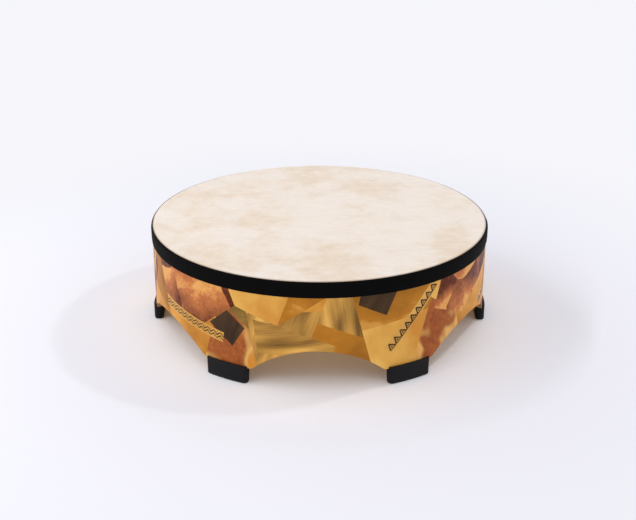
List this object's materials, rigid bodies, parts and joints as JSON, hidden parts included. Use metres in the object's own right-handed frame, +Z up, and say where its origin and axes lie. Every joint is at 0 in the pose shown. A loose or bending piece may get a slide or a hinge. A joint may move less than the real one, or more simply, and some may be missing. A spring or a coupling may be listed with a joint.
{
  "type": "floor drum",
  "caption": "Low round floor drum with a film head, a black rim band and an arched shell standing on short legs in rubber boots.",
  "frame": {"origin": "on the floor, under the middle of the head", "axes": "+Z up along the drum's axis, -Y towards the arch seen at the front, +X to the viewer's right"},
  "size_m": [0.5692, 0.561, 0.1775],
  "materials": {
    "wound_fibre": "matte dark wound wood fibre",
    "printed_covering": "satin printed covering in golds and coppers",
    "head_film": "satin mottled cream film",
    "band_tape": "matte black coated tape",
    "boot_rubber": "matte black moulded rubber"
  },
  "bodies": {
    "root": {"shell_core": "wound_fibre", "shell_wrap": "printed_covering", "drum_head": "head_film", "rim_band": "band_tape", "boot_front_left": "boot_rubber", "boot_front_right": "boot_rubber", "boot_right": "boot_rubber", "boot_rear_right": "boot_rubber", "boot_rear_left": "boot_rubber", "boot_left": "boot_rubber"}
  },
  "joints": []
}
